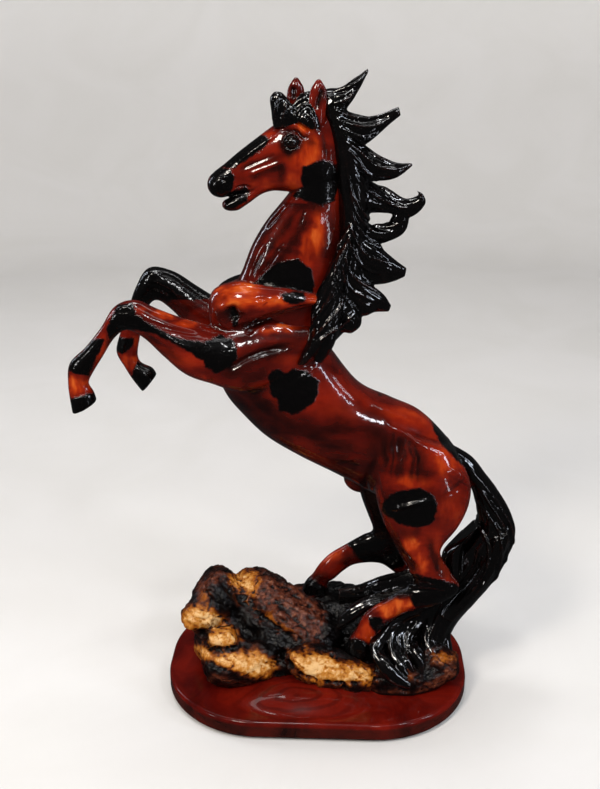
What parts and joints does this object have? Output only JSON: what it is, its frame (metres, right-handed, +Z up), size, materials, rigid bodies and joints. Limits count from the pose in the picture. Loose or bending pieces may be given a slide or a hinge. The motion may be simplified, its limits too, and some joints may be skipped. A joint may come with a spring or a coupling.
{
  "type": "rearing horse figurine",
  "caption": "Rearing horse ornament in lacquered resin, standing with its hind hooves and tail on a rock fixed to an oval felt-bottomed plinth.",
  "frame": {"origin": "middle of the felt's underside, which rests on the shelf", "axes": "+Z up, +X along the plinth towards the tail, so the horse faces -X and its left side faces -Y"},
  "size_m": [0.278, 0.144, 0.4],
  "materials": {
    "mahogany_resin": "gloss lacquer over mahogany red with black patches",
    "black_resin": "gloss lacquer over black",
    "rock_resin": "burnished gold and maroon over black, lacquered",
    "plinth_resin": "gloss lacquer over deep red mahogany",
    "felt": "short felt nap",
    "steel": "plain drawn steel",
    "eye_bead": "polished black bead"
  },
  "bodies": {
    "root": {"plinth": "plinth_resin", "felt_pad": "felt", "plinth_screws": "steel", "rock": "rock_resin", "torso": "mahogany_resin", "head_and_neck": "mahogany_resin", "left_foreleg": "mahogany_resin", "right_foreleg": "mahogany_resin", "left_hind_leg": "mahogany_resin", "right_hind_leg": "mahogany_resin", "left_hind_wire": "steel", "right_hind_wire": "steel", "neck_dowel": "steel", "foreleg_dowels": "steel", "tail_dowel": "steel", "mane": "black_resin", "mane_pins": "steel", "forelock": "black_resin", "tail": "black_resin", "left_eye": "eye_bead", "right_eye": "eye_bead"}
  },
  "joints": []
}
